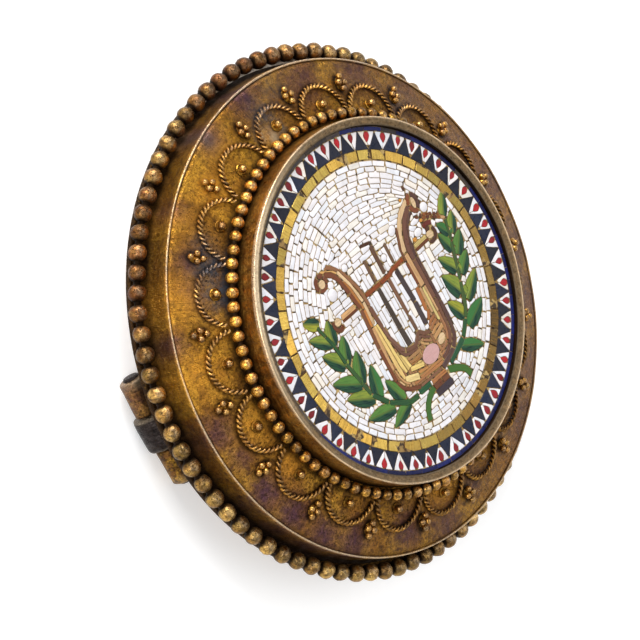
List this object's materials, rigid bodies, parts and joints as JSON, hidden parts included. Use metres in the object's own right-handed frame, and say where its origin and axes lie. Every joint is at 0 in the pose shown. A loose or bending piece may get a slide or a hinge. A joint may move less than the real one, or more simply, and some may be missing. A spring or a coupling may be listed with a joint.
{
  "type": "micromosaic brooch",
  "caption": "Round micromosaic brooch with a lyre and laurel sprays in glass tesserae, in a granulated gilt-metal frame with a hinged pin.",
  "frame": {"origin": "centre of the brooch's axis at the level it rests on, face up", "axes": "+Z out of the mosaic's face, +Y up the lyre, +X to the lyre's right, away from the pin's hinge"},
  "size_m": [0.0378, 0.0378, 0.0094],
  "materials": {
    "gilt_metal": "tarnished gilt",
    "pin_metal": "browned",
    "tablet_glass": "matt",
    "white_glass": "satin",
    "navy_glass": "satin",
    "blue_glass": "satin",
    "red_glass": "satin",
    "gold_glass": "gold backed",
    "tan_glass": "satin",
    "brown_glass": "satin",
    "pink_glass": "satin",
    "green_glass": "satin"
  },
  "bodies": {
    "brooch": {"back_plate": "gilt_metal", "hinge_knuckles": "gilt_metal", "hinge_rivet": "pin_metal", "catch": "gilt_metal", "rim_beads": "gilt_metal", "frame": "gilt_metal", "collet": "gilt_metal", "collet_beads": "gilt_metal", "scallops": "gilt_metal", "scallop_grains": "gilt_metal", "grain_clusters": "gilt_metal", "mosaic_tablet": "tablet_glass", "blue_ring": "blue_glass", "white_triangles": "white_glass", "red_diamonds": "red_glass", "navy_triangles": "navy_glass", "gold_ring": "gold_glass", "white_field": "white_glass", "lyre_body": "tan_glass", "lyre_crossbar": "brown_glass", "lyre_strings": "brown_glass", "lyre_stone": "pink_glass", "lyre_base": "brown_glass", "laurel_left": "green_glass", "laurel_right": "green_glass"},
    "pin": {"pin": "pin_metal"}
  },
  "joints": [
    {"name": "pin_hinge", "type": "hinge", "parent": "brooch", "child": "pin", "pos_m": [-0.01695, 0.00128, 0.00138], "axis": [0, 1, 0], "range_deg": [0, 100]}
  ]
}
